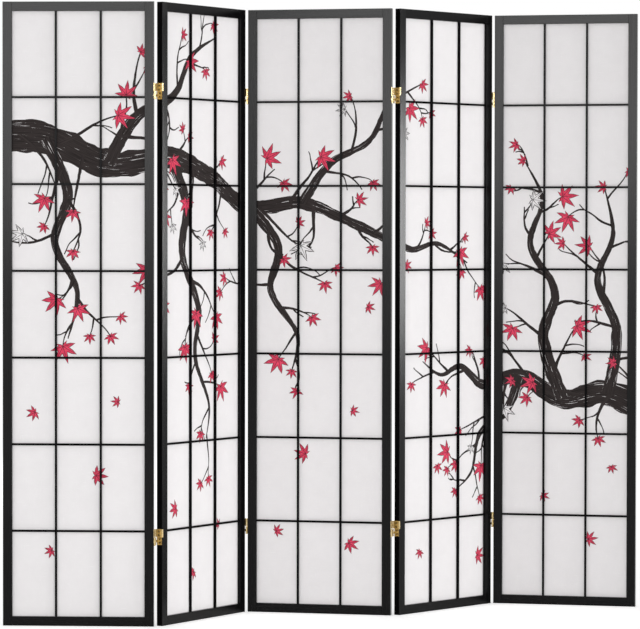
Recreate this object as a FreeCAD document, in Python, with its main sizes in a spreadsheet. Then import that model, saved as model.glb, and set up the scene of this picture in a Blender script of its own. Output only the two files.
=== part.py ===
"""Five-panel folding shoji screen with two-way hinges, built at real size in millimetres.

Each panel is made in its own frame: x runs along its width from the left end, y through its
thickness (the front is -y) and z up from the floor. A placement bound to the sheet then stands
the panel in the zigzag.
"""
import FreeCAD
import Part
import Sketcher
import os
import re

PANELS = (1, 2, 3, 4, 5)
FRONT = -1
BACK = 1
# Which face each joint between neighbours folds towards.
FOLD_SIDE = {1: BACK, 2: FRONT, 3: BACK, 4: FRONT}
UPRIGHTS = 2
CROSSBARS = 6
HALVES = ("upper", "lower")
# Places of one leaf's screws, in pitches from its middle.
SCREW_STEPS = (-1.5, -0.5, 0.5, 1.5)
UPWARD = FreeCAD.Rotation()
# Carries x to y, y to z and z to x, so that a pad runs along the rail.
SIDEWAYS = FreeCAD.Rotation(FreeCAD.Vector(1, 1, 1), 120)

SIZES = {
    # panel frame
    "panel_width": 432.0,
    "panel_height": 1778.0,
    "thickness": 19.0,
    "stile_width": 26.5,
    "rail_height": 27.0,
    "edge_round": 0.8,
    "tenon_length": 16.0,
    "tenon_thickness": 7.0,
    "tenon_shoulder": 5.0,
    # lattice and paper
    "upright_width": 6.0,
    "crossbar_height": 6.0,
    "bar_depth": 6.5,
    "bar_stub": 4.0,
    "paper_thickness": 0.5,
    "paper_let_in": 5.0,
    # hinges
    "end_gap": 6.0,
    "axis_offset": 2.5,
    "hinge_inset": 254.0,
    "leaf_height": 46.0,
    "leaf_thickness": 1.2,
    "leaf_setback": 1.0,
    "link_thickness": 1.2,
    "link_clearance": 0.3,
    "half_gap": 1.0,
    "knuckle_radius": 2.5,
    "knuckle_gap": 0.15,
    "pin_radius": 1.2,
    "running_clearance": 0.05,
    # hinge screws
    "screw_head_radius": 2.6,
    "screw_radius": 1.4,
    "screw_length": 14.0,
    "screw_pitch": 10.8,
    "access_radius": 3.2,
    "slot_width": 0.7,
    "slot_depth": 0.5,
    # where the screen stands and how it is bent, in degrees from the screen's run
    "start_x": -960.88,
    "start_y": -30.29,
    "heading_1": -18.3,
    "heading_2": 42.7,
    "heading_3": -28.3,
    "heading_4": 33.2,
    "heading_5": -28.3,
}

# Lengths used more than once, written with the sheet's names.
AXIS_OUT = "(thickness / 2 + axis_offset)"
HALF_HEIGHT = "((leaf_height - half_gap) / 2)"
KNUCKLE_HEIGHT = "((%s - 2 * knuckle_gap) / 3)" % HALF_HEIGHT
KNUCKLE_STEP = "(%s + knuckle_gap)" % KNUCKLE_HEIGHT
LINK_HALF_DEPTH = "(%s - knuckle_radius - link_clearance)" % AXIS_OUT
OPENING_WIDTH = "(panel_width - 2 * stile_width)"
OPENING_HEIGHT = "(panel_height - 2 * rail_height)"
HINGE_HEIGHTS = ("hinge_inset", "(panel_height - hinge_inset)")
RIGHT_JOINT = "(panel_width + end_gap / 2)"
LEFT_JOINT = "(-end_gap / 2)"

doc = FreeCAD.newDocument("shoji_screen")
dims = doc.addObject("Spreadsheet::Sheet", "dims")
for row, (alias, value) in enumerate(SIZES.items(), start=1):
    dims.set("A%d" % row, alias)
    dims.set("B%d" % row, str(value))
    dims.setAlias("B%d" % row, alias)
doc.recompute()

ALIAS_PATTERN = re.compile(r"\b(%s)\b" % "|".join(SIZES))
nodes = []


def bound(text):
    """Turn sheet names in a formula into references to the sheet."""
    return ALIAS_PATTERN.sub(r"dims.\1", text)


def bind(obj, **formulas):
    """Bind properties of an object to formulas over the sheet."""
    for prop, text in formulas.items():
        obj.setExpression(prop, bound(text))
    return obj


def bind_base(obj, x, y, z):
    """Bind the position of an object inside its panel's frame."""
    for axis, text in (("x", x), ("y", y), ("z", z)):
        obj.setExpression("Placement.Base." + axis, bound(text))
    return obj


def box(name, x, y, z, length, width, height):
    """A block given its lowest corner and its three sizes."""
    obj = bind(doc.addObject("Part::Box", name), Length=length, Width=width, Height=height)
    return bind_base(obj, x, y, z)


def rod(name, x, y, z, radius, height):
    """An upright cylinder given the middle of its lower end."""
    obj = bind(doc.addObject("Part::Cylinder", name), Radius=radius, Height=height)
    return bind_base(obj, x, y, z)


def aim_along_x(obj, sign):
    """Turn an upright primitive so that it runs along +x or -x."""
    turn = FreeCAD.Rotation(FreeCAD.Vector(0, 1, 0), 90 * sign)
    obj.Placement = FreeCAD.Placement(obj.Placement.Base, turn)
    return obj


def fuse(name, pieces):
    obj = doc.addObject("Part::MultiFuse", name)
    obj.Shapes = pieces
    return obj


def compound(name, pieces):
    obj = doc.addObject("Part::Compound", name)
    obj.Links = pieces
    return obj


def cut(name, base, tools):
    obj = doc.addObject("Part::Cut", name)
    obj.Base = base
    obj.Tool = tools[0] if len(tools) == 1 else fuse(name + "_cutters", tools)
    return obj


def rounded_stick(name, turn, x, y, z, width, depth, length):
    """A padded rectangle with its four long edges eased; turn sets the sketch's plane."""
    body = doc.addObject("PartDesign::Body", name)
    sketch = body.newObject("Sketcher::SketchObject", name + "_section")
    sketch.Placement = FreeCAD.Placement(FreeCAD.Vector(), turn)
    side = SIZES["thickness"]
    corners = [FreeCAD.Vector(*c, 0) for c in ((0, 0), (side, 0), (side, side), (0, side))]
    for i in range(4):
        sketch.addGeometry(Part.LineSegment(corners[i], corners[(i + 1) % 4]), False)
    for i in range(4):
        sketch.addConstraint(Sketcher.Constraint("Coincident", i, 2, (i + 1) % 4, 1))
    for i, direction in enumerate(("Horizontal", "Vertical", "Horizontal", "Vertical")):
        sketch.addConstraint(Sketcher.Constraint(direction, i))
    sketch.addConstraint(Sketcher.Constraint("Coincident", 0, 1, -1, 1))
    for line, kind, prop, text in ((0, "DistanceX", "across", width), (1, "DistanceY", "through", depth)):
        index = sketch.addConstraint(Sketcher.Constraint(kind, line, 1, line, 2, side))
        sketch.renameConstraint(index, prop)
        sketch.setExpression("Constraints." + prop, bound(text))
    pad = body.newObject("PartDesign::Pad", name + "_pad")
    pad.Profile = sketch
    pad.setExpression("Length", bound(length))
    doc.recompute()
    run = turn.multVec(FreeCAD.Vector(0, 0, 1))
    long_edges = []
    for i, edge in enumerate(pad.Shape.Edges, start=1):
        if abs(edge.tangentAt(edge.FirstParameter).dot(run)) > 0.99:
            long_edges.append("Edge%d" % i)
    eased = body.newObject("PartDesign::Fillet", name + "_eased")
    eased.Base = (pad, long_edges)
    eased.setExpression("Radius", bound("edge_round"))
    bind_base(body, x, y, z)
    return body


def ride(obj, panel):
    """Bind a finished node's placement so that it stands with its panel."""
    leader = "panel_%d_left_stile" % panel
    if obj.Name != leader:
        obj.setExpression("Placement", leader + ".Placement")
    elif panel == 1:
        obj.setExpression("Placement", bound(stand("start_x", "start_y", "heading_1")))
    else:
        before = "panel_%d_left_stile.Placement.Base" % (panel - 1)
        out = "(%d * %s)" % (FOLD_SIDE[panel - 1], AXIS_OUT)
        old = "(heading_%d * 1 deg)" % (panel - 1)
        new = "(heading_%d * 1 deg)" % panel
        x = "%s.x / 1 mm + cos%s * %s - sin%s * %s" % (before, old, RIGHT_JOINT, old, out)
        x += " + cos%s * end_gap / 2 + sin%s * %s" % (new, new, out)
        y = "%s.y / 1 mm + sin%s * %s + cos%s * %s" % (before, old, RIGHT_JOINT, old, out)
        y += " + sin%s * end_gap / 2 - cos%s * %s" % (new, new, out)
        obj.setExpression("Placement", bound(stand(x, y, "heading_%d" % panel)))
    nodes.append(obj)
    return obj


def stand(x, y, heading):
    """The formula of a panel's placement on the floor."""
    return "placement(vector(%s; %s; 0); rotation(vector(0; 0; 1); %s))" % (x, y, heading)


def lattice_y(side):
    """Lower y of the lattice bars in front of or behind the paper."""
    if side == FRONT:
        return "-(paper_thickness / 2 + bar_depth)"
    return "paper_thickness / 2"


def upright_x(number):
    clear = "((%s - %d * upright_width) / %d)" % (OPENING_WIDTH, UPRIGHTS, UPRIGHTS + 1)
    return "(stile_width + %d * %s + %d * upright_width)" % (number, clear, number - 1)


def crossbar_z(number):
    clear = "((%s - %d * crossbar_height) / %d)" % (OPENING_HEIGHT, CROSSBARS, CROSSBARS + 1)
    return "(rail_height + %d * %s + %d * crossbar_height)" % (number, clear, number - 1)


def screw_z(hinge, step):
    """Height of a screw of the hinge at a given height."""
    return "(%s + %s * screw_pitch)" % (hinge, step)


def screw_heights():
    """Heights of all screws on one end of a panel."""
    return [screw_z(hinge, step) for hinge in HINGE_HEIGHTS for step in SCREW_STEPS]


def ends_with_hinges(panel):
    """Ends of a panel that carry hinge leaves: x of the end and the way out of it."""
    if panel > PANELS[0]:
        yield "0", -1
    if panel < PANELS[-1]:
        yield "panel_width", 1


def make_stile(panel, end):
    """A stile mortised for both rails, slotted for the paper and socketed for the crossbars."""
    name = "panel_%d_%s_stile" % (panel, end)
    left = end == "left"
    outer_x = "0" if left else "panel_width - stile_width"
    stick = rounded_stick(name + "_stick", UPWARD, outer_x, "-thickness / 2", "0",
                          "stile_width", "thickness", "panel_height")

    def inward(depth):
        return "stile_width - %s" % depth if left else "panel_width - stile_width"

    cutters = [box(name + "_slot", inward("paper_let_in"), "-paper_thickness / 2",
                   "rail_height - paper_let_in", "paper_let_in", "paper_thickness",
                   OPENING_HEIGHT + " + 2 * paper_let_in")]
    for rail_z in ("0", "panel_height - rail_height"):
        cutters.append(box(name + "_mortise", inward("tenon_length"), "-tenon_thickness / 2",
                           rail_z + " + tenon_shoulder", "tenon_length", "tenon_thickness",
                           "rail_height - 2 * tenon_shoulder"))
    for side in (FRONT, BACK):
        for number in range(1, CROSSBARS + 1):
            cutters.append(box(name + "_socket", inward("bar_stub"), lattice_y(side),
                               crossbar_z(number), "bar_stub", "bar_depth", "crossbar_height"))
    for end_x, out in ends_with_hinges(panel):
        if (out < 0) == left:
            for z in screw_heights():
                hole = rod(name + "_pilot", end_x, "0", z, "screw_radius",
                           "screw_length - leaf_thickness")
                cutters.append(aim_along_x(hole, -out))
    ride(cut(name, stick, cutters), panel)


def make_rail(panel, end):
    """A rail tenoned into both stiles, slotted for the paper and socketed for the uprights."""
    name = "panel_%d_%s_rail" % (panel, end)
    bottom = end == "bottom"
    z = "0" if bottom else "(panel_height - rail_height)"
    stick = rounded_stick(name + "_stick", SIDEWAYS, "stile_width", "-thickness / 2", z,
                          "thickness", "rail_height", OPENING_WIDTH)
    tenons = []
    for tenon_x in ("stile_width - tenon_length", "panel_width - stile_width"):
        tenons.append(box(name + "_tenon", tenon_x, "-tenon_thickness / 2", z + " + tenon_shoulder",
                          "tenon_length", "tenon_thickness", "rail_height - 2 * tenon_shoulder"))

    def inward(depth):
        return "rail_height - %s" % depth if bottom else z

    cutters = [box(name + "_slot", "stile_width", "-paper_thickness / 2", inward("paper_let_in"),
                   OPENING_WIDTH, "paper_thickness", "paper_let_in")]
    for side in (FRONT, BACK):
        for number in range(1, UPRIGHTS + 1):
            cutters.append(box(name + "_socket", upright_x(number), lattice_y(side),
                               inward("bar_stub"), "upright_width", "bar_depth", "bar_stub"))
    ride(cut(name, fuse(name + "_blank", [stick] + tenons), cutters), panel)


def make_lattice(panel, side):
    """Uprights and crossbars on one side of the paper, half-lapped where they cross."""
    name = "panel_%d_%s_lattice" % (panel, "front" if side == FRONT else "back")
    y = lattice_y(side)
    outer_half = y if side == FRONT else y + " + bar_depth / 2"
    inner_half = y + " + bar_depth / 2" if side == FRONT else y
    bars = []
    for number in range(1, UPRIGHTS + 1):
        bar = box(name + "_upright_bar", upright_x(number), y, "rail_height - bar_stub",
                  "upright_width", "bar_depth", OPENING_HEIGHT + " + 2 * bar_stub")
        laps = [box(name + "_lap", upright_x(number), outer_half, crossbar_z(row),
                    "upright_width", "bar_depth / 2", "crossbar_height")
                for row in range(1, CROSSBARS + 1)]
        bars.append(cut(name + "_upright_%d" % number, bar, laps))
    for number in range(1, CROSSBARS + 1):
        bar = box(name + "_cross_bar", "stile_width - bar_stub", y, crossbar_z(number),
                  OPENING_WIDTH + " + 2 * bar_stub", "bar_depth", "crossbar_height")
        laps = [box(name + "_lap", upright_x(column), inner_half, crossbar_z(number),
                    "upright_width", "bar_depth / 2", "crossbar_height")
                for column in range(1, UPRIGHTS + 1)]
        bars.append(cut(name + "_crossbar_%d" % number, bar, laps))
    ride(compound(name, bars), panel)


def make_paper(panel):
    """One sheet let into the slots of the frame, between the two lattices."""
    name = "panel_%d_paper" % panel
    sheet = box(name + "_sheet", "stile_width - paper_let_in", "-paper_thickness / 2",
                "rail_height - paper_let_in", OPENING_WIDTH + " + 2 * paper_let_in",
                "paper_thickness", OPENING_HEIGHT + " + 2 * paper_let_in")
    ride(compound(name, [sheet]), panel)


def make_screws(panel):
    """Countersunk slotted screws that hold the leaves on one panel's ends."""
    name = "panel_%d_hinge_screws" % panel
    screws = []
    for end_x, out in ends_with_hinges(panel):
        for z in screw_heights():
            head = bind(doc.addObject("Part::Cone", name + "_head"), Radius1="screw_radius",
                        Radius2="screw_head_radius", Height="leaf_thickness")
            aim_along_x(bind_base(head, end_x, "0", z), out)
            shank = rod(name + "_shank", end_x, "0", z, "screw_radius", "screw_length - leaf_thickness")
            aim_along_x(shank, -out)
            slot_x = "%s + leaf_thickness - slot_depth" % end_x if out > 0 else "-leaf_thickness"
            slot = box(name + "_slot", slot_x, "-screw_head_radius", z + " - slot_width / 2",
                       "slot_depth", "2 * screw_head_radius", "slot_width")
            screws.append(cut(name + "_screw", fuse(name + "_blank", [head, shank]), [slot]))
    ride(compound(name, screws), panel)


def half_start(hinge, half):
    """Lower end of one half of the hinge at a given height."""
    if half == "upper":
        return "(%s + half_gap / 2)" % hinge
    return "(%s - leaf_height / 2)" % hinge


def axis_y(side):
    return "(%d * %s)" % (side, AXIS_OUT)


def bore_radius(running):
    return "pin_radius + running_clearance" if running else "pin_radius"


def make_leaves(joint, end):
    """The leaves of one joint on one panel, with a knuckle in front and one behind."""
    on_left = end == "left"
    name = "hinge_%d%d_%s_leaves" % (joint, joint + 1, end)
    panel = joint if on_left else joint + 1
    joint_x = RIGHT_JOINT if on_left else LEFT_JOINT
    end_x = "panel_width" if on_left else "0"
    out = 1 if on_left else -1
    plate_x = end_x if on_left else "-leaf_thickness"
    plate_half = "(thickness / 2 - leaf_setback)"
    knuckle_side = {"upper": BACK, "lower": FRONT} if on_left else {"upper": FRONT, "lower": BACK}
    leaves = []
    for hinge in HINGE_HEIGHTS:
        solid = [box(name + "_plate", plate_x, "-" + plate_half, "%s - leaf_height / 2" % hinge,
                     "leaf_thickness", "2 * " + plate_half, "leaf_height")]
        holes = []
        for half in HALVES:
            z = half_start(hinge, half)
            side = knuckle_side[half]
            knuckle_z = "%s + %s" % (z, KNUCKLE_STEP)
            tab_y = plate_half if side == BACK else "-" + AXIS_OUT
            solid.append(box(name + "_tab", plate_x, tab_y, knuckle_z, "leaf_thickness",
                             "%s - %s" % (AXIS_OUT, plate_half), KNUCKLE_HEIGHT))
            solid.append(rod(name + "_knuckle", joint_x, axis_y(side), knuckle_z,
                             "knuckle_radius", KNUCKLE_HEIGHT))
            running = not on_left and side == FOLD_SIDE[joint]
            holes.append(rod(name + "_bore", joint_x, axis_y(side), z, bore_radius(running),
                             HALF_HEIGHT))
        for step in SCREW_STEPS:
            sink = bind(doc.addObject("Part::Cone", name + "_sink"), Radius1="screw_radius",
                        Radius2="screw_head_radius", Height="leaf_thickness")
            holes.append(aim_along_x(bind_base(sink, end_x, "0", screw_z(hinge, step)), out))
        leaves.append(cut(name + "_leaf", fuse(name + "_blank", solid), holes))
    ride(compound(name, leaves), panel)


def make_links(joint, half):
    """The crossing links of one joint: a plate with knuckles on both axes, riveted on the idle one.

    Holes in the plate let a screwdriver through to the leaf behind it.
    """
    fold = FOLD_SIDE[joint]
    name = "hinge_%d%d_%s_links" % (joint, joint + 1, half)
    on_left = (half == "lower") == (fold == BACK)
    panel = joint if on_left else joint + 1
    joint_x = RIGHT_JOINT if on_left else LEFT_JOINT
    links = []
    for hinge in HINGE_HEIGHTS:
        z = half_start(hinge, half)
        solid = [box(name + "_plate", joint_x + " - link_thickness / 2", "-" + LINK_HALF_DEPTH, z,
                     "link_thickness", "2 * " + LINK_HALF_DEPTH, HALF_HEIGHT)]
        web = "(%s - %s - pin_radius - 2 * running_clearance)" % (AXIS_OUT, LINK_HALF_DEPTH)
        for side in (FRONT, BACK):
            for step in (0, 2):
                knuckle_z = "%s + %d * %s" % (z, step, KNUCKLE_STEP)
                web_y = LINK_HALF_DEPTH if side == BACK else "-%s - %s" % (LINK_HALF_DEPTH, web)
                solid.append(box(name + "_web", joint_x + " - link_thickness / 2", web_y, knuckle_z,
                                 "link_thickness", web, KNUCKLE_HEIGHT))
                solid.append(rod(name + "_knuckle", joint_x, axis_y(side), knuckle_z,
                                 "knuckle_radius", KNUCKLE_HEIGHT))
        solid.append(rod(name + "_rivet", joint_x, axis_y(-fold), z, "pin_radius", HALF_HEIGHT))
        holes = [rod(name + "_bore", joint_x, axis_y(fold), z, bore_radius(not on_left), HALF_HEIGHT)]
        for step in SCREW_STEPS:
            if (step > 0) == (half == "upper"):
                access = rod(name + "_access", joint_x + " - link_thickness", "0", screw_z(hinge, step),
                             "access_radius", "2 * link_thickness")
                holes.append(aim_along_x(access, 1))
        links.append(cut(name + "_link", fuse(name + "_blank", solid), holes))
    ride(compound(name, links), panel)


def make_pins(joint):
    """The pins that the joint turns on, fast in the pieces that stand with its left panel."""
    name = "hinge_%d%d_pins" % (joint, joint + 1)
    pins = [rod(name + "_pin", RIGHT_JOINT, axis_y(FOLD_SIDE[joint]), half_start(hinge, half),
                "pin_radius", HALF_HEIGHT)
            for hinge in HINGE_HEIGHTS for half in HALVES]
    ride(compound(name, pins), joint)


for panel in PANELS:
    make_stile(panel, "left")
    make_stile(panel, "right")
    make_rail(panel, "top")
    make_rail(panel, "bottom")
    make_lattice(panel, FRONT)
    make_lattice(panel, BACK)
    make_paper(panel)
    make_screws(panel)
for joint in FOLD_SIDE:
    make_leaves(joint, "left")
    make_leaves(joint, "right")
    make_links(joint, "upper")
    make_links(joint, "lower")
    make_pins(joint)
doc.recompute()

for obj in doc.Objects:
    if "Invalid" in obj.State or "Error" in obj.State:
        raise RuntimeError("%s did not recompute: %s" % (obj.Name, obj.State))
os.makedirs("parts", exist_ok=True)
for node in nodes:
    if node.Shape.isNull() or not node.Shape.isValid():
        raise RuntimeError("%s has no valid shape" % node.Label)
    node.Shape.exportStep("parts/%s.step" % node.Label)
print("%d nodes written" % len(nodes))
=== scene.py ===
import math
import random

import bmesh
import bpy
from mathutils import Matrix, Vector, noise
from mathutils.geometry import interpolate_bezier


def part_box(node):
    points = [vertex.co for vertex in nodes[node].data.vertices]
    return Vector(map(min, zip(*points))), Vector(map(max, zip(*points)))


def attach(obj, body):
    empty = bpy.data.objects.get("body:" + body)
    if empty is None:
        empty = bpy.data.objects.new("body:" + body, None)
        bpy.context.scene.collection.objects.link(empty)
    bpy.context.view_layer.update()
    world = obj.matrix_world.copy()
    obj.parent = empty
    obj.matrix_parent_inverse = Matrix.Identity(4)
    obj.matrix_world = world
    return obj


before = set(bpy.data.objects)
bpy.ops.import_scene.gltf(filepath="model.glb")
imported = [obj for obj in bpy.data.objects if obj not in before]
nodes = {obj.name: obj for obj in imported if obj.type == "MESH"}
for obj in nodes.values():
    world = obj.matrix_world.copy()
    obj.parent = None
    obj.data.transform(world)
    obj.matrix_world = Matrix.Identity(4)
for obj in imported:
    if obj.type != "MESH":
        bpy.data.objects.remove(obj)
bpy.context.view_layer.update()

# STILES AND RAILS
# Sticks of light wood, tenoned together and sprayed with black satin lacquer, so the grain only
# shows as faint long streaks in the gloss. The rails' streaks follow each panel's heading.
PANEL_HEADINGS = (-18.3, 42.7, -28.3, 33.2, -28.3)
PANELS = range(1, len(PANEL_HEADINGS) + 1)
LACQUER_BLACK = (0.0026, 0.0024, 0.0026, 1.0)
LACQUER_WORN = (0.0064, 0.0058, 0.0062, 1.0)
SATIN_DULLNESS = (0.17, 0.21)
FRAME_GLOSS = 0.11
GRAIN_ACROSS = 140.0
GRAIN_ALONG = 5.0


def new_material(name):
    """An empty node material with its shader joined to its output."""
    material = bpy.data.materials.new(name)
    material.use_nodes = True
    tree = material.node_tree
    tree.nodes.clear()
    shader = tree.nodes.new("ShaderNodeBsdfPrincipled")
    output = tree.nodes.new("ShaderNodeOutputMaterial")
    tree.links.new(shader.outputs["BSDF"], output.inputs["Surface"])
    return material, tree, shader


def add_noise(tree, vector, scale, detail, roughness=0.55):
    """A noise node on the given coordinates."""
    node = tree.nodes.new("ShaderNodeTexNoise")
    node.inputs["Scale"].default_value = scale
    node.inputs["Detail"].default_value = detail
    node.inputs["Roughness"].default_value = roughness
    tree.links.new(vector, node.inputs["Vector"])
    return node.outputs["Fac"]


def add_range(tree, value, span, onto=(0.0, 1.0)):
    """A clamped map of a value from one span onto another."""
    node = tree.nodes.new("ShaderNodeMapRange")
    for socket, number in zip(("From Min", "From Max", "To Min", "To Max"), (*span, *onto)):
        node.inputs[socket].default_value = number
    tree.links.new(value, node.inputs["Value"])
    return node.outputs["Result"]


def add_mix(tree, factor, first, second):
    """A colour mix; each end is a colour or an output of another node."""
    node = tree.nodes.new("ShaderNodeMix")
    node.data_type = "RGBA"
    tree.links.new(factor, node.inputs[0])
    for socket, end in ((6, first), (7, second)):
        if isinstance(end, tuple):
            node.inputs[socket].default_value = end
        else:
            tree.links.new(end, node.inputs[socket])
    return node.outputs[2]


def add_bump(tree, shader, height, strength, distance):
    """Raise a surface by a height value."""
    node = tree.nodes.new("ShaderNodeBump")
    node.inputs["Strength"].default_value = strength
    node.inputs["Distance"].default_value = distance
    tree.links.new(height, node.inputs["Height"])
    tree.links.new(node.outputs["Normal"], shader.inputs["Normal"])


def placed_coordinates(tree, scale=(1.0, 1.0, 1.0), turn=0.0):
    """Object coordinates, turned about the vertical and scaled along the panel's own axes."""
    coordinates = tree.nodes.new("ShaderNodeTexCoord")
    mapping = tree.nodes.new("ShaderNodeMapping")
    mapping.vector_type = "POINT"
    mapping.inputs["Rotation"].default_value = (0.0, 0.0, math.radians(turn))
    tree.links.new(coordinates.outputs["Object"], mapping.inputs["Vector"])
    stretch = tree.nodes.new("ShaderNodeVectorMath")
    stretch.operation = "MULTIPLY"
    stretch.inputs[1].default_value = scale
    tree.links.new(mapping.outputs["Vector"], stretch.inputs[0])
    return stretch.outputs["Vector"]


def new_group(name, inputs, outputs):
    """An empty node group with named inputs and outputs of the given kinds."""
    group = bpy.data.node_groups.new(name, "ShaderNodeTree")
    for in_out, sockets in (("INPUT", inputs), ("OUTPUT", outputs)):
        for socket, kind in sockets.items():
            group.interface.new_socket(socket, in_out=in_out, socket_type="NodeSocket" + kind)
    source = group.nodes.new("NodeGroupInput")
    result = group.nodes.new("NodeGroupOutput")
    return group, source.outputs, result.inputs


def add_group(tree, group, values):
    """A group placed in a material; each input has its own value or another node's output."""
    node = tree.nodes.new("ShaderNodeGroup")
    node.node_tree = group
    for socket, value in values.items():
        if isinstance(value, bpy.types.NodeSocket):
            tree.links.new(value, node.inputs[socket])
        else:
            node.inputs[socket].default_value = value
    return node.outputs


def lacquer_streaks_group():
    """Streaks of grain and spray under the lacquer: how worn, how dull and how raised."""
    group, source, result = new_group("lacquer_streaks", {"Vector": "Vector"},
                                      {"Wear": "Float", "Dullness": "Float", "Height": "Float"})
    fine = add_noise(group, source["Vector"], scale=3.0, detail=6.0, roughness=0.6)
    broad = add_noise(group, source["Vector"], scale=0.35, detail=3.0)
    group.links.new(add_range(group, fine, span=(0.42, 0.74)), result["Wear"])
    group.links.new(add_range(group, broad, span=(0.3, 0.7), onto=SATIN_DULLNESS), result["Dullness"])
    group.links.new(fine, result["Height"])
    return group


lacquer_streaks = lacquer_streaks_group()


def lacquer(name, scale, gloss, turn=0.0):
    """Black satin lacquer whose streaks run along the axis with the smallest scale."""
    material, tree, shader = new_material(name)
    streaks = add_group(tree, lacquer_streaks, {"Vector": placed_coordinates(tree, scale, turn)})
    colour = add_mix(tree, streaks["Wear"], LACQUER_BLACK, LACQUER_WORN)
    tree.links.new(colour, shader.inputs["Base Color"])
    tree.links.new(streaks["Dullness"], shader.inputs["Roughness"])
    add_bump(tree, shader, streaks["Height"], strength=0.12, distance=0.0004)
    shader.inputs["Specular IOR Level"].default_value = gloss
    return material


def dress(node, material):
    """Give a node of the frame its finished material."""
    for slot in nodes[node].material_slots:
        slot.material = material


stile_lacquer = lacquer("stile_lacquer", (GRAIN_ACROSS, GRAIN_ACROSS, GRAIN_ALONG), FRAME_GLOSS)
for panel, heading in zip(PANELS, PANEL_HEADINGS):
    rail_lacquer = lacquer("rail_lacquer_%d" % panel, (GRAIN_ALONG, GRAIN_ACROSS, GRAIN_ACROSS),
                           FRAME_GLOSS, turn=-heading)
    for end in ("left", "right"):
        dress("panel_%d_%s_stile" % (panel, end), stile_lacquer)
    for end in ("top", "bottom"):
        dress("panel_%d_%s_rail" % (panel, end), rail_lacquer)

# LATTICE
# Thin bars half-lapped into a grid on both sides of the paper, in the same black lacquer. They are
# too slim for the grain to read, so only the spray's own mottle is left.
LATTICE_GLOSS = 0.032
SPRAY_MOTTLE = 160.0
lattice_lacquer = lacquer("lattice_lacquer", (SPRAY_MOTTLE, SPRAY_MOTTLE, SPRAY_MOTTLE), LATTICE_GLOSS)
for panel in PANELS:
    for side in ("front", "back"):
        dress("panel_%d_%s_lattice" % (panel, side), lattice_lacquer)

# PAPER
# One sheet of off-white translucent paper for each panel, held in a slot between the lattices.
# Long fibres and a cloudy formation show faintly in it.
PAPER_WHITE = (0.806, 0.784, 0.789, 1.0)
PAPER_CLOUD = (0.785, 0.763, 0.768, 1.0)
PAPER_FIBRE = (0.855, 0.839, 0.842, 1.0)
PAPER_MOTTLE = {"Scale": 26.0, "First": PAPER_WHITE, "Second": PAPER_CLOUD}
LEVEL_FIBRES = (34.0, 34.0, 420.0)
UPRIGHT_FIBRES = (420.0, 420.0, 40.0)
FIBRE_STRENGTH = 0.55


def mottle_group():
    """A cloudy change from one colour to another, as in paper pulp and in flat ink."""
    group, source, result = new_group("mottle", {"Scale": "Float", "First": "Color", "Second": "Color"},
                                      {"Colour": "Color"})
    cloud = add_noise(group, placed_coordinates(group), scale=1.0, detail=4.0, roughness=0.6)
    group.links.new(source["Scale"], cloud.node.inputs["Scale"])
    mask = add_range(group, cloud, span=(0.36, 0.69))
    group.links.new(add_mix(group, mask, source["First"], source["Second"]), result["Colour"])
    return group


mottle = mottle_group()


def washi_paper():
    """Soft paper with clouds in its pulp and fibres along and across it."""
    material, tree, shader = new_material("washi_paper")
    colour = add_group(tree, mottle, PAPER_MOTTLE)["Colour"]
    for scale in (LEVEL_FIBRES, UPRIGHT_FIBRES):
        fibre = add_noise(tree, placed_coordinates(tree, scale), scale=1.0, detail=3.0, roughness=0.65)
        mask = add_range(tree, fibre, span=(0.60, 0.72), onto=(0.0, FIBRE_STRENGTH))
        colour = add_mix(tree, mask, colour, PAPER_FIBRE)
    tree.links.new(colour, shader.inputs["Base Color"])
    add_bump(tree, shader, fibre, strength=0.10, distance=0.0002)
    shader.inputs["Subsurface Weight"].default_value = 0.45
    shader.inputs["Subsurface Radius"].default_value = (1.0, 1.0, 1.0)
    shader.inputs["Subsurface Scale"].default_value = 0.0012
    shader.inputs["Roughness"].default_value = 0.85
    shader.inputs["Specular IOR Level"].default_value = 0.2
    return material


paper_finish = washi_paper()
for panel in PANELS:
    dress("panel_%d_paper" % panel, paper_finish)

# PRINTED BOUGHS
# The paper is screen-printed before it is hung, with black brushed boughs and twigs that run on from
# panel to panel. They are drawn on the unfolded screen, in millimetres, and cut to each opening.
MILLIMETRE = 0.001
PANEL_WIDTH = 0.432
PANEL_HEIGHT = 1.778
PANEL_PITCH = 0.438
STILE_WIDTH = 0.0265
RAIL_HEIGHT = 0.027
PAPER_FRONT = 0.00025
INK_BLACK = (0.0100, 0.0080, 0.0078, 1.0)
INK_THIN = (0.0360, 0.0285, 0.0275, 1.0)
HAIR_STREAKS = (0.34, 0.011, 1.0)
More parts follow.
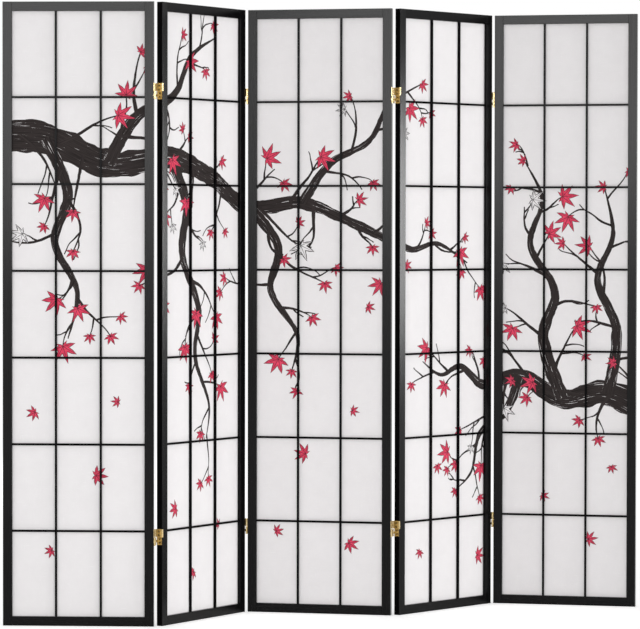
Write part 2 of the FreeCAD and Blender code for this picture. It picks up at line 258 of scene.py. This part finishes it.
# Each bough is a row of knots: how far along the screen, how high and how wide.
BOUGHS = (
    ((-60, 1395, 100), (120, 1390, 88), (300, 1318, 76), (500, 1335, 66), (700, 1282, 56), (880, 1198, 46),
     (1040, 1210, 37), (1210, 1142, 27), (1370, 1075, 19), (1500, 1090, 12), (1640, 1032, 4)),
    ((500, 1330, 46), (572, 1205, 40), (552, 1060, 33), (636, 905, 26), (618, 765, 19), (690, 625, 11),
     (676, 525, 3)),
    ((300, 1320, 40), (384, 1452, 32), (520, 1524, 25), (596, 1630, 17), (725, 1690, 3)),
    ((880, 1200, 32), (966, 1080, 26), (944, 950, 20), (1024, 822, 13), (1008, 715, 3)),
    ((1040, 1210, 28), (1122, 1325, 22), (1240, 1392, 16), (1304, 1505, 10), (1425, 1562, 3)),
    ((2260, 560, 92), (2100, 640, 76), (1960, 622, 60), (1830, 690, 45), (1715, 664, 31), (1610, 722, 20),
     (1515, 700, 11), (1430, 742, 3)),
    ((1960, 625, 42), (1902, 800, 34), (1936, 945, 26), (1862, 1085, 19), (1896, 1225, 12),
     (1842, 1340, 3)),
    ((2100, 640, 38), (2124, 830, 30), (2066, 980, 22), (2112, 1115, 14), (2086, 1260, 3)),
    ((1830, 690, 30), (1786, 580, 24), (1698, 512, 17), (1662, 405, 10), (1585, 352, 3)),
    ((120, 1388, 36), (186, 1235, 30), (148, 1095, 23), (212, 955, 15), (186, 820, 3)),
)
BRUSH_STEP = 9.0
EDGE_WAVE = 38.0
EDGE_FRAY = 9.0
WIDEST_FRAY = 1.6
THINNEST_HALF = 0.2
BOUGH_LEVEL = 0.05
BOUGH_LEVEL_STEP = 0.012
BOUGH_WOBBLE = 0.24
FIRST_TWIG = (60.0, 110.0)
NEXT_TWIG = (70.0, 120.0)
TWIGS_CLOSER = 0.35
TWIGS_SHORTER = 0.45
TWIG_SPREAD = (34.0, 64.0)
TWIG_LENGTH = (110.0, 230.0)
TWIG_WIDTH = 6.0
TWIG_WIDTH_SHARE = 0.16
WIDEST_TWIG = 11.5
THINNEST_TWIG = 3.2
TWIG_BEND = 14.0
TWIG_KINK = 16.0
TWIG_RUNS = ((0.30, 0.80), (0.28, 0.60), (0.24, 0.42), (0.18, 0.22))
TWIG_LEVEL = 0.20
TWIG_WOBBLE = 0.35
FORK_PLACE = (0.35, 0.8)
FORK_SPREAD = (28.0, 55.0)
FORK_LENGTH = (0.30, 0.5)
FORK_WIDTH = 5.6
FORK_LEVEL = 0.22
FORK_WOBBLE = 0.3
chance = random.Random(23)


def drawn_path(knots):
    """Points on a smooth line through knots of place and width."""
    knots = [Vector(knot) for knot in knots]
    points = []
    for i in range(len(knots) - 1):
        start, end = knots[i], knots[i + 1]
        leave = start + (end - knots[max(i - 1, 0)]) / 6
        arrive = end - (knots[min(i + 2, len(knots) - 1)] - start) / 6
        steps = max(3, int((end.xy - start.xy).length / BRUSH_STEP))
        points += interpolate_bezier(start, leave, arrive, end, steps + 1)[:-1]
    return points + [knots[-1]]


def brush_stroke(bm, path, level, wobble):
    """A strip laid along a path, as wide as the brush and rough at its edges."""
    across, along, breadth = (bm.verts.layers.float[name] for name in ("across", "along", "breadth"))
    strip = bmesh.ops.create_grid(bm, x_segments=1, y_segments=len(path) - 1, size=0.5)["verts"]
    rows = sorted(strip, key=lambda vert: (round(vert.co.y, 6), vert.co.x))
    seed = chance.uniform(0.0, 900.0)
    travelled = 0.0
    for i, point in enumerate(path):
        before = path[max(i - 1, 0)]
        ahead = (path[min(i + 1, len(path) - 1)] - before).xy.normalized()
        right = Vector((ahead.y, -ahead.x, 0.0))
        travelled += (point.xy - before.xy).length
        for vert, side in ((rows[2 * i], -1.0), (rows[2 * i + 1], 1.0)):
            wave = noise.noise((travelled / EDGE_WAVE, seed, side * 7.0))
            fray = noise.noise((travelled / EDGE_FRAY, seed + 50.0, side * 7.0))
            half = point.z / 2 * (1.0 + wobble * wave) + min(WIDEST_FRAY, point.z / 8) * fray
            half = max(THINNEST_HALF, half)
            vert.co = Vector((point.x, point.y, level)) + right * side * half
            vert[across] = side * half
            vert[along] = travelled + seed * 40.0
            vert[breadth] = point.z


def new_drawing():
    """An empty drawing that keeps where each point lies in its brush stroke."""
    bm = bmesh.new()
    for name in ("across", "along", "breadth"):
        bm.verts.layers.float.new(name)
    return bm


def cut_to_panels(drawing, kind, materials):
    """Cut a drawing of the unfolded screen to each panel's opening and lay it on its paper."""
    bmesh.ops.scale(drawing, vec=(MILLIMETRE, MILLIMETRE, MILLIMETRE), verts=drawing.verts)
    for panel, heading in zip(PANELS, PANEL_HEADINGS):
        bm = drawing.copy()
        start = (panel - 1) * PANEL_PITCH
        edges_of_opening = (
            ((start + STILE_WIDTH, 0.0, 0.0), (-1.0, 0.0, 0.0)),
            ((start + PANEL_WIDTH - STILE_WIDTH, 0.0, 0.0), (1.0, 0.0, 0.0)),
            ((0.0, RAIL_HEIGHT, 0.0), (0.0, -1.0, 0.0)),
            ((0.0, PANEL_HEIGHT - RAIL_HEIGHT, 0.0), (0.0, 1.0, 0.0)))
        for point, outward in edges_of_opening:
            bmesh.ops.bisect_plane(bm, geom=bm.verts[:] + bm.edges[:] + bm.faces[:], dist=1e-7,
                                   plane_co=point, plane_no=outward, clear_outer=True)
        low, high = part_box("panel_%d_paper" % panel)
        middle = (low + high) / 2
        stand = (Matrix.Translation((middle.x, middle.y, 0.0))
                 @ Matrix.Rotation(math.radians(heading), 4, "Z")
                 @ Matrix.Translation((-PANEL_WIDTH / 2, -PAPER_FRONT, 0.0))
                 @ Matrix.Rotation(math.radians(90.0), 4, "X")
                 @ Matrix.Translation((-start, 0.0, 0.0)))
        bmesh.ops.transform(bm, matrix=stand, verts=bm.verts)
        mesh = bpy.data.meshes.new("panel_%d_%s" % (panel, kind))
        bm.to_mesh(mesh)
        bm.free()
        for material in materials:
            mesh.materials.append(material)
        piece = bpy.data.objects.new(mesh.name, mesh)
        bpy.context.scene.collection.objects.link(piece)
        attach(piece, "panel_%d" % panel)
    drawing.free()


def add_product(tree, first, second):
    """The product of two values."""
    node = tree.nodes.new("ShaderNodeMath")
    node.operation = "MULTIPLY"
    tree.links.new(first, node.inputs[0])
    tree.links.new(second, node.inputs[1])
    return node.outputs["Value"]


def brushed_ink():
    """Black ink that thins into dry streaks along the broad strokes."""
    material, tree, shader = new_material("brushed_ink")
    stroke = {}
    for name in ("across", "along", "breadth"):
        node = tree.nodes.new("ShaderNodeAttribute")
        node.attribute_name = name
        stroke[name] = node.outputs["Fac"]
    place = tree.nodes.new("ShaderNodeCombineXYZ")
    tree.links.new(stroke["across"], place.inputs["X"])
    tree.links.new(stroke["along"], place.inputs["Y"])
    stretch = tree.nodes.new("ShaderNodeVectorMath")
    stretch.operation = "MULTIPLY"
    stretch.inputs[1].default_value = HAIR_STREAKS
    tree.links.new(place.outputs["Vector"], stretch.inputs[0])
    hair = add_noise(tree, stretch.outputs["Vector"], scale=1.0, detail=4.0, roughness=0.6)
    dry = add_range(tree, hair, span=(0.625, 0.650))
    broad = add_range(tree, stroke["breadth"], span=(12.0, 34.0))
    bare = add_product(tree, dry, broad)
    wet = add_range(tree, hair, span=(0.30, 0.58))
    ink = add_mix(tree, wet, INK_BLACK, INK_THIN)
    tree.links.new(add_mix(tree, bare, ink, PAPER_WHITE), shader.inputs["Base Color"])
    shader.inputs["Roughness"].default_value = 0.7
    shader.inputs["Specular IOR Level"].default_value = 0.1
    return material


def turned(direction, degrees):
    """A direction on the drawing, turned to the left."""
    return Matrix.Rotation(math.radians(degrees), 2) @ direction


def twig_knots(base, direction, length, width):
    """A crooked twig that thins to a point, with the place and direction of its tip."""
    knots = [(base.x, base.y, width)]
    bend = chance.uniform(-TWIG_BEND, TWIG_BEND)
    place = base.copy()
    for run, width_left in TWIG_RUNS:
        direction = turned(direction, bend + chance.uniform(-TWIG_KINK, TWIG_KINK))
        place = place + direction * length * run
        knots.append((place.x, place.y, max(THINNEST_TWIG, width * width_left)))
    return knots, place, direction


boughs = new_drawing()
leaf_sites = []
for number, knots in enumerate(BOUGHS):
    bough = drawn_path(knots)
    brush_stroke(boughs, bough, BOUGH_LEVEL + BOUGH_LEVEL_STEP * number, BOUGH_WOBBLE)
    side = 1.0
    wait = chance.uniform(*FIRST_TWIG)
    for i in range(1, len(bough) - 2):
        wait -= (bough[i].xy - bough[i - 1].xy).length
        if wait > 0.0:
            continue
        share = i / len(bough)
        wait = chance.uniform(*NEXT_TWIG) * (1.0 - TWIGS_CLOSER * share)
        side = -side
        ahead = (bough[i + 1] - bough[i - 1]).xy.normalized()
        aim = turned(ahead, side * chance.uniform(*TWIG_SPREAD))
        length = chance.uniform(*TWIG_LENGTH) * (1.0 - TWIGS_SHORTER * share)
        width = min(WIDEST_TWIG, TWIG_WIDTH + bough[i].z * TWIG_WIDTH_SHARE)
        twig, tip, aim = twig_knots(bough[i].xy, aim, length, width)
        twig = drawn_path(twig)
        brush_stroke(boughs, twig, TWIG_LEVEL, TWIG_WOBBLE)
        leaf_sites.append((tip, aim))
        for _ in range(chance.randint(1, 2)):
            j = int(len(twig) * chance.uniform(*FORK_PLACE))
            lean = chance.choice((-1.0, 1.0)) * chance.uniform(*FORK_SPREAD)
            aim = turned((twig[j] - twig[j - 1]).xy.normalized(), lean)
            fork, tip, aim = twig_knots(twig[j].xy, aim, length * chance.uniform(*FORK_LENGTH), FORK_WIDTH)
            brush_stroke(boughs, drawn_path(fork), FORK_LEVEL, FORK_WOBBLE)
            leaf_sites.append((tip, aim))
    leaf_sites.append((bough[-1].xy, (bough[-1] - bough[-3]).xy.normalized()))
cut_to_panels(boughs, "boughs", [brushed_ink()])

# PRINTED LEAVES
# Maple leaves in crimson ink with a dark line round them and dark veins, at the twigs' ends and
# falling below them. A few are left as outlines.
LEAF_CRIMSON = (0.780, 0.062, 0.130, 1.0)
LEAF_DEEP = (0.500, 0.028, 0.068, 1.0)
LEAF_LINE = (0.045, 0.006, 0.012, 1.0)
LEAF_LINE_PALE = (0.095, 0.014, 0.026, 1.0)
# The outline of a leaf: the angle from its tip and the reach, for the tip, one side and the stem.
LEAF_TIP = (0, 1.0)
LEAF_SIDE = ((10, 0.66), (21, 0.42), (32, 0.62), (43, 0.94), (53, 0.62), (65, 0.38), (76, 0.52), (87, 0.76),
             (99, 0.46), (112, 0.25), (129, 0.42), (152, 0.17))
LEAF_STEM = (180, 0.07)
LEAF_UNEVEN = (0.95, 1.05)
LEAF_VEINS = ((0, 0.86), (43, 0.80), (-43, 0.80), (87, 0.60), (-87, 0.60))
VEIN_WIDTH = 1.5
VEIN_TAPER = 0.4
VEIN_RAISE = 0.02
LEAF_LEVEL = 0.28
LEAF_LEVEL_STEP = 0.05
LINE_WIDTH = 0.5
LINE_SHARE = 0.032
OUTLINE_SHARE = 0.045
CRIMSON, LINE, BARE, OUTLINE = range(4)
LEAF_REACHES = (26.0, 29.0, 32.0, 44.0, 50.0)
LEAF_CROWDING = 0.62
LEAFLESS_SHARE = 0.06
OUTLINED_SHARE = 0.08
LEAF_DROOP = Vector((0.0, -0.9))
LEAF_SWING = 30.0
FALL = Vector((0.0, -1.0))
FALL_SWING = 120.0
FALLING_LEAVES = (
    (92, 610, 30), (265, 430, 40), (330, 640, 24), (140, 215, 26), (520, 330, 36), (742, 268, 24),
    (612, 140, 28), (1050, 470, 40), (1190, 600, 24), (960, 240, 27), (1180, 210, 36), (1236, 905, 26),
    (1420, 180, 26), (1500, 430, 30), (1690, 150, 38), (1900, 330, 25), (2040, 200, 32), (2110, 420, 24))


def maple_leaf(bm, place, reach, aim, level, filled):
    """A lobed leaf, outlined and veined, that points along aim."""
    other_side = [(-angle, radius) for angle, radius in reversed(LEAF_SIDE)]
    outline = [LEAF_TIP, *LEAF_SIDE, LEAF_STEM, *other_side]
    ring = bmesh.ops.create_circle(bm, cap_ends=True, segments=len(outline), radius=1.0)["verts"]
    blade = ring[0].link_faces[0]
    for loop, (degrees, radius) in zip(blade.loops, outline):
        angle = math.radians(degrees)
        radius *= reach * chance.uniform(*LEAF_UNEVEN)
        loop.vert.co = Vector((-math.sin(angle) * radius, math.cos(angle) * radius, level))
    blade.normal_update()
    fill, line, line_share = (CRIMSON, LINE, LINE_SHARE) if filled else (BARE, OUTLINE, OUTLINE_SHARE)
    rim = bmesh.ops.inset_individual(bm, faces=[blade], thickness=LINE_WIDTH + reach * line_share)["faces"]
    for face in rim:
        face.material_index = line
    blade.material_index = fill
    drawn = list(ring) + list(blade.verts)
    for degrees, share in LEAF_VEINS:
        length = reach * share
        vein = bmesh.ops.create_grid(bm, x_segments=1, y_segments=1, size=0.5)["verts"]
        bmesh.ops.scale(bm, vec=(VEIN_WIDTH, length, 1.0), verts=vein)
        bmesh.ops.translate(bm, vec=(0.0, length / 2, level + VEIN_RAISE), verts=vein)
        for vert in vein:
            if vert.co.y > length / 2:
                vert.co.x *= VEIN_TAPER
        lean = Matrix.Rotation(math.radians(degrees), 3, "Z")
        bmesh.ops.rotate(bm, cent=(0.0, 0.0, 0.0), matrix=lean, verts=vein)
        vein[0].link_faces[0].material_index = line
        drawn += vein
    turn = Matrix.Rotation(math.atan2(-aim.x, aim.y), 3, "Z")
    bmesh.ops.rotate(bm, cent=(0.0, 0.0, 0.0), matrix=turn, verts=drawn)
    bmesh.ops.translate(bm, vec=(place.x, place.y, 0.0), verts=drawn)


def printed_ink(name, values):
    """Flat printing ink, a little uneven where the screen pressed it."""
    material, tree, shader = new_material(name)
    tree.links.new(add_group(tree, mottle, values)["Colour"], shader.inputs["Base Color"])
    shader.inputs["Roughness"].default_value = 0.65
    shader.inputs["Specular IOR Level"].default_value = 0.2
    return material


leaves = new_drawing()
placed = []


def place_leaf(place, reach, aim, filled=True):
    """Draw a leaf unless it would crowd another, one level above any that it overlaps."""
    taken_levels = []
    for spot, size, other_level in placed:
        gap = (place - spot).length
        if gap < LEAF_CROWDING * (reach + size):
            return
        if gap < reach + size:
            taken_levels.append(other_level)
    level = 0
    while level in taken_levels:
        level += 1
    placed.append((place, reach, level))
    maple_leaf(leaves, place, reach, aim, LEAF_LEVEL + LEAF_LEVEL_STEP * level, filled)


for tip, aim in leaf_sites:
    if chance.random() < LEAFLESS_SHARE:
        continue
    reach = chance.choice(LEAF_REACHES)
    aim = turned((aim + LEAF_DROOP).normalized(), chance.uniform(-LEAF_SWING, LEAF_SWING))
    place_leaf(tip, reach, aim, filled=chance.random() > OUTLINED_SHARE)
for x, height, reach in FALLING_LEAVES:
    place_leaf(Vector((x, height)), reach, turned(FALL, chance.uniform(-FALL_SWING, FALL_SWING)))
cut_to_panels(leaves, "leaves", [
    printed_ink("leaf_crimson", {"Scale": 120.0, "First": LEAF_CRIMSON, "Second": LEAF_DEEP}),
    printed_ink("leaf_line", {"Scale": 300.0, "First": LEAF_LINE, "Second": LEAF_LINE_PALE}),
    printed_ink("leaf_bare", PAPER_MOTTLE),
    printed_ink("leaf_outline", {"Scale": 300.0, "First": INK_BLACK, "Second": INK_THIN})])

# HINGES
# Two-way screen hinges of polished brass under clear lacquer: leaves, crossing links and pins. The
# slotted screws are much darker brass, partly tarnish and partly painted shade for their sunken slots
# and holes, and fine scratches break up the shine.
BRASS_BRIGHT = (0.56, 0.425, 0.19, 1.0)
BRASS_TARNISHED = (0.19, 0.12, 0.028, 1.0)
# The screw colours are darker than tarnish alone: painted shade for their slots and the holes round them.
SCREW_BRIGHT_SHADED = (0.17, 0.108, 0.032, 1.0)
SCREW_TARNISHED_SHADED = (0.06, 0.034, 0.009, 1.0)
HINGE_PATINA = {"Bright": BRASS_BRIGHT, "Tarnished": BRASS_TARNISHED, "Tarnish": 0.65}
SCREW_PATINA_AND_SHADE = {"Bright": SCREW_BRIGHT_SHADED, "Tarnished": SCREW_TARNISHED_SHADED, "Tarnish": 0.9}
BRASS_DULLNESS = (0.15, 0.28)
STAIN_SCALE = 240.0
SCRATCHES = (3000.0, 3000.0, 260.0)


def brass_patina_group():
    """Stains and fine scratches on brass: its colour and how dull it is."""
    group, source, result = new_group("brass_patina",
                                      {"Bright": "Color", "Tarnished": "Color", "Tarnish": "Float"},
                                      {"Colour": "Color", "Dullness": "Float"})
    stain = add_noise(group, placed_coordinates(group), scale=STAIN_SCALE, detail=4.0)
    mask = add_product(group, add_range(group, stain, span=(0.45, 0.75)), source["Tarnish"])
    group.links.new(add_mix(group, mask, source["Bright"], source["Tarnished"]), result["Colour"])
    scratch = add_noise(group, placed_coordinates(group, SCRATCHES), scale=1.0, detail=2.0)
    group.links.new(add_range(group, scratch, span=(0.3, 0.7), onto=BRASS_DULLNESS), result["Dullness"])
    return group


brass_patina = brass_patina_group()


def polished_brass(name, patina_values, coat):
    """Brass with the given patina, which for the screws also holds painted shade, under clear lacquer."""
    material, tree, shader = new_material(name)
    patina = add_group(tree, brass_patina, patina_values)
    tree.links.new(patina["Colour"], shader.inputs["Base Color"])
    tree.links.new(patina["Dullness"], shader.inputs["Roughness"])
    shader.inputs["Metallic"].default_value = 1.0
    shader.inputs["Coat Weight"].default_value = coat
    shader.inputs["Coat Roughness"].default_value = 0.1
    shader.inputs["Coat IOR"].default_value = 1.7
    return material


hinge_brass = polished_brass("hinge_brass", HINGE_PATINA, coat=1.0)
# The screws' dark brass is partly painted shade for their slots and holes.
screw_brass_and_shade = polished_brass("screw_brass_and_shade", SCREW_PATINA_AND_SHADE, coat=0.2)
for panel in PANELS[:-1]:
    for kind in ("left_leaves", "right_leaves", "upper_links", "lower_links", "pins"):
        dress("hinge_%d%d_%s" % (panel, panel + 1, kind), hinge_brass)
for panel in PANELS:
    dress("panel_%d_hinge_screws" % panel, screw_brass_and_shade)

# FLOOR AND LIGHT
# A plain white floor, lifted less near the screen so that the shadow at its feet stays, in an even
# white surround. Soft lamps stand at the left, far at the right and behind. Two small ones light only
# the stiles, for the streaks on those that turn to the right, and a low one evens out the paper.
FLOOR_SIZE = 60.0
FLOOR_WHITE = (0.90, 0.90, 0.90, 1.0)
PURE_WHITE = (1.0, 1.0, 1.0, 1.0)
FLOOR_NEAR = 1.5
FLOOR_FAR = 5.0
LIFT_NEAR = 0.46
LIFT_FAR = 0.54
SURROUND_LIGHT = 0.54
SURROUND_SEEN = 1.0
MID_SCREEN = (0.0, 0.0, 1.0)


def seen_directly(tree):
    """One for rays from the camera, from gloss and through glass, and nothing for the rest."""
    light_path = tree.nodes.new("ShaderNodeLightPath")
    seen = light_path.outputs["Is Camera Ray"]
    for ray in ("Is Glossy Ray", "Is Transmission Ray"):
        either = tree.nodes.new("ShaderNodeMath")
        either.operation = "MAXIMUM"
        tree.links.new(seen, either.inputs[0])
        tree.links.new(light_path.outputs[ray], either.inputs[1])
        seen = either.outputs["Value"]
    return seen


bpy.ops.mesh.primitive_plane_add(size=FLOOR_SIZE, location=(0.0, 0.0, 0.0))
floor = bpy.context.object
floor.name = "floor"
floor_material, floor_tree, floor_shader = new_material("floor_white")
floor_shader.inputs["Base Color"].default_value = FLOOR_WHITE
floor_shader.inputs["Roughness"].default_value = 0.9
floor_shader.inputs["Specular IOR Level"].default_value = 0.0
floor_shader.inputs["Emission Color"].default_value = PURE_WHITE
floor_place = floor_tree.nodes.new("ShaderNodeTexCoord")
floor_distance = floor_tree.nodes.new("ShaderNodeVectorMath")
floor_distance.operation = "LENGTH"
floor_tree.links.new(floor_place.outputs["Object"], floor_distance.inputs[0])
lift = add_range(floor_tree, floor_distance.outputs["Value"],
                 span=(FLOOR_NEAR, FLOOR_FAR), onto=(LIFT_NEAR, LIFT_FAR))
lift = add_product(floor_tree, lift, seen_directly(floor_tree))
floor_tree.links.new(lift, floor_shader.inputs["Emission Strength"])
floor.data.materials.append(floor_material)

world = bpy.data.worlds.new("white_surround")
world.use_nodes = True
world_tree = world.node_tree
world_tree.nodes.clear()
background = world_tree.nodes.new("ShaderNodeBackground")
background.inputs["Color"].default_value = PURE_WHITE
strength = add_range(world_tree, seen_directly(world_tree),
                     span=(0.0, 1.0), onto=(SURROUND_LIGHT, SURROUND_SEEN))
world_tree.links.new(strength, background.inputs["Strength"])
surface = world_tree.nodes.new("ShaderNodeOutputWorld")
world_tree.links.new(background.outputs["Background"], surface.inputs["Surface"])
bpy.context.scene.world = world


def soft_lamp(name, place, aim, width, height, power):
    """A rectangular soft lamp that looks from its place to a point."""
    lamp = bpy.data.lights.new(name, "AREA")
    lamp.shape = "RECTANGLE"
    lamp.size = width
    lamp.size_y = height
    lamp.energy = power
    holder = bpy.data.objects.new(name, lamp)
    holder.location = place
    holder.visible_camera = False
    holder.rotation_euler = (Vector(aim) - Vector(place)).to_track_quat("-Z", "Y").to_euler()
    bpy.context.scene.collection.objects.link(holder)
    return holder


soft_lamp("sheen_lamp", place=(-4.70, -7.15, 2.05), aim=MID_SCREEN, width=3.2, height=1.8, power=195.0)
soft_lamp("fill_lamp", place=(12.2, -6.9, 1.0), aim=MID_SCREEN, width=4.0, height=3.0, power=875.0)
soft_lamp("back_lamp", place=(-2.6, 6.6, 1.2), aim=(0.0, 0.0, 0.9), width=3.0, height=2.0, power=100.0)
edge_lamp = soft_lamp("edge_lamp", place=(5.4, -0.69, 1.15), aim=(0.2, -0.07, 1.14),
                      width=0.7, height=1.0, power=60.0)
far_edge_lamp = soft_lamp("far_edge_lamp", place=(5.4, 0.25, 1.15), aim=(-0.53, -0.16, 1.14),
                          width=0.3, height=0.8, power=85.0)
low_lamp = soft_lamp("low_lamp", place=(-0.15, -2.0, 0.45), aim=(-0.15, 0.0, 0.45),
                     width=1.2, height=0.2, power=7.2)
lit_stiles = bpy.data.collections.new("lit_stiles")
lit_paper = bpy.data.collections.new("lit_paper")
for panel in PANELS:
    for end in ("left", "right"):
        lit_stiles.objects.link(nodes["panel_%d_%s_stile" % (panel, end)])
    lit_paper.objects.link(nodes["panel_%d_paper" % panel])
    for kind in ("boughs", "leaves"):
        lit_paper.objects.link(bpy.data.objects["panel_%d_%s" % (panel, kind)])
edge_lamp.light_linking.receiver_collection = lit_stiles
far_edge_lamp.light_linking.receiver_collection = lit_stiles
low_lamp.light_linking.receiver_collection = lit_paper

# CAMERA
# A long lens a little above mid-height, off to the left of the screen's own front. It looks slightly
# down, at the photograph's viewing angle.
CAMERA_PLACE = (-2.65777, -9.55370, 1.13390)
CAMERA_YAW = -15.4618
CAMERA_PITCH_DOWN = 1.4534
CAMERA_ROLL = -0.0885
SENSOR_WIDTH = 36.0
FOCAL_LENGTH = 190.08
camera_data = bpy.data.cameras.new("camera")
camera_data.sensor_width = SENSOR_WIDTH
camera_data.lens = FOCAL_LENGTH
camera = bpy.data.objects.new("camera", camera_data)
camera.location = CAMERA_PLACE
turn = Matrix.Rotation(math.radians(CAMERA_YAW), 4, "Z")
tilt = Matrix.Rotation(math.radians(90.0 - CAMERA_PITCH_DOWN), 4, "X")
roll = Matrix.Rotation(math.radians(-CAMERA_ROLL), 4, "Z")
camera.rotation_euler = (turn @ tilt @ roll).to_euler()
bpy.context.scene.collection.objects.link(camera)
bpy.context.scene.camera = camera
bpy.context.scene.view_settings.view_transform = "Standard"
